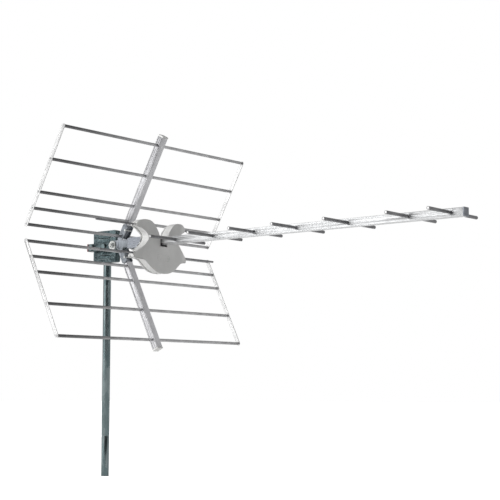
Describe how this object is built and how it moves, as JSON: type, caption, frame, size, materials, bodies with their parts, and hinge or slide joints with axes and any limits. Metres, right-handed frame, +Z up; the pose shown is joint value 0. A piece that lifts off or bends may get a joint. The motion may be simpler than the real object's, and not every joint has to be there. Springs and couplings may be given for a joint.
{
  "type": "yagi antenna",
  "caption": "Television yagi antenna with a folding corner reflector of rods, a folded dipole in a moulded housing, and a square boom clamped to a round mast.",
  "frame": {"origin": "centre of the lower end of the mast", "axes": "+Z up the mast, +X along the boom in the direction the antenna points, +Y along the elements"},
  "size_m": [0.888, 0.5216, 0.6807],
  "materials": {
    "mast_steel": "galvanised round tube, dull grey with a faint blue-green cast",
    "galvanised_steel": "hot-dip galvanised pressed sheet",
    "dark_plastic": "moulded polyethylene, slightly glossy",
    "red_plastic": "moulded dark red polyethylene",
    "zinc_fasteners": "bright zinc plating",
    "boom_aluminium": "bright drawn square tube",
    "hub_plate": "bluish pressed plate with bright sheared edges",
    "sleeve_plastic": "bluish grey moulded nylon",
    "element_aluminium": "drawn tube with cut ends",
    "reflector_aluminium": "drawn rod, dull grey",
    "rail_aluminium": "bright flat strip",
    "strut_aluminium": "drawn square tube",
    "housing_plastic": "white moulded plastic, satin",
    "seal_rubber": "moulded gasket",
    "brass_contacts": "plain brass",
    "circuit_board": "glass-fibre board with green lacquer",
    "connector_nickel": "nickel-plated brass"
  },
  "bodies": {
    "mast": {"mast": "mast_steel", "mast_cap": "dark_plastic"},
    "antenna": {"balun_board": "circuit_board", "boom_sleeve": "sleeve_plastic", "clamp_bolts": "zinc_fasteners", "clamp_bracket": "galvanised_steel", "crush_sleeves": "zinc_fasteners", "dipole_arm_lower_far": "element_aluminium", "dipole_arm_lower_near": "element_aluminium", "dipole_arm_upper_far": "element_aluminium", "dipole_arm_upper_near": "element_aluminium", "director_1": "element_aluminium", "director_2": "element_aluminium", "director_3": "element_aluminium", "director_4": "element_aluminium", "director_5": "element_aluminium", "director_6": "element_aluminium", "director_7": "element_aluminium", "f_connector": "connector_nickel", "feed_bars": "brass_contacts", "front_boom": "boom_aluminium", "front_boom_plug": "dark_plastic", "housing_front": "housing_plastic", "housing_rear": "housing_plastic", "housing_screws": "zinc_fasteners", "housing_seal": "seal_rubber", "hub_bolt": "zinc_fasteners", "hub_cheek_far": "hub_plate", "hub_cheek_near": "hub_plate", "hub_nut": "zinc_fasteners", "rear_boom": "boom_aluminium", "rear_boom_plug": "red_plastic", "sleeve_screws": "zinc_fasteners", "stop_rivets": "zinc_fasteners", "terminals": "brass_contacts"},
    "jaw": {"clamp_jaw": "galvanised_steel", "jaw_washers": "zinc_fasteners"},
    "wing_nut_rear": {"wing_nut_rear": "zinc_fasteners"},
    "wing_nut_front": {"wing_nut_front": "zinc_fasteners"},
    "upper_reflector": {"upper_knuckle": "sleeve_plastic", "upper_rail_far": "rail_aluminium", "upper_rail_near": "rail_aluminium", "upper_rod_1": "reflector_aluminium", "upper_rod_2": "reflector_aluminium", "upper_rod_3": "reflector_aluminium", "upper_rod_4": "reflector_aluminium", "upper_rod_5": "reflector_aluminium", "upper_strut": "strut_aluminium", "upper_strut_plug": "dark_plastic"},
    "lower_reflector": {"lower_knuckle": "sleeve_plastic", "lower_rail_far": "rail_aluminium", "lower_rail_near": "rail_aluminium", "lower_rod_1": "reflector_aluminium", "lower_rod_2": "reflector_aluminium", "lower_rod_3": "reflector_aluminium", "lower_rod_4": "reflector_aluminium", "lower_rod_5": "reflector_aluminium", "lower_strut": "strut_aluminium", "lower_strut_plug": "dark_plastic"}
  },
  "joints": [
    {"name": "azimuth", "type": "hinge", "parent": "mast", "child": "antenna", "pos_m": [0, 0, 0.466], "axis": [0, 0, 1], "continuous": true},
    {"name": "jaw_slide", "type": "slide", "parent": "antenna", "child": "jaw", "axis": [0, 1, 0], "range_m": [0, 0.006]},
    {"name": "rear_nut_spin", "type": "hinge", "parent": "jaw", "child": "wing_nut_rear", "pos_m": [-0.018, 0.0156, 0.466], "axis": [0, 1, 0], "range_deg": [0, 2160.1]},
    {"name": "front_nut_spin", "type": "hinge", "parent": "jaw", "child": "wing_nut_front", "pos_m": [0.018, 0.0156, 0.466], "axis": [0, 1, 0], "range_deg": [0, 2160.1]},
    {"name": "upper_fold", "type": "hinge", "parent": "antenna", "child": "upper_reflector", "pos_m": [0.068, -0.022, 0.483], "axis": [0, -1, 0], "range_deg": [0, 75]},
    {"name": "lower_fold", "type": "hinge", "parent": "antenna", "child": "lower_reflector", "pos_m": [0.068, -0.022, 0.452], "axis": [0, 1, 0], "range_deg": [0, 38]}
  ],
  "couplings": [
    {"joint": "rear_nut_spin", "follows": "jaw_slide", "rad_per_m": 6283.2},
    {"joint": "front_nut_spin", "follows": "jaw_slide", "rad_per_m": 6283.2}
  ]
}
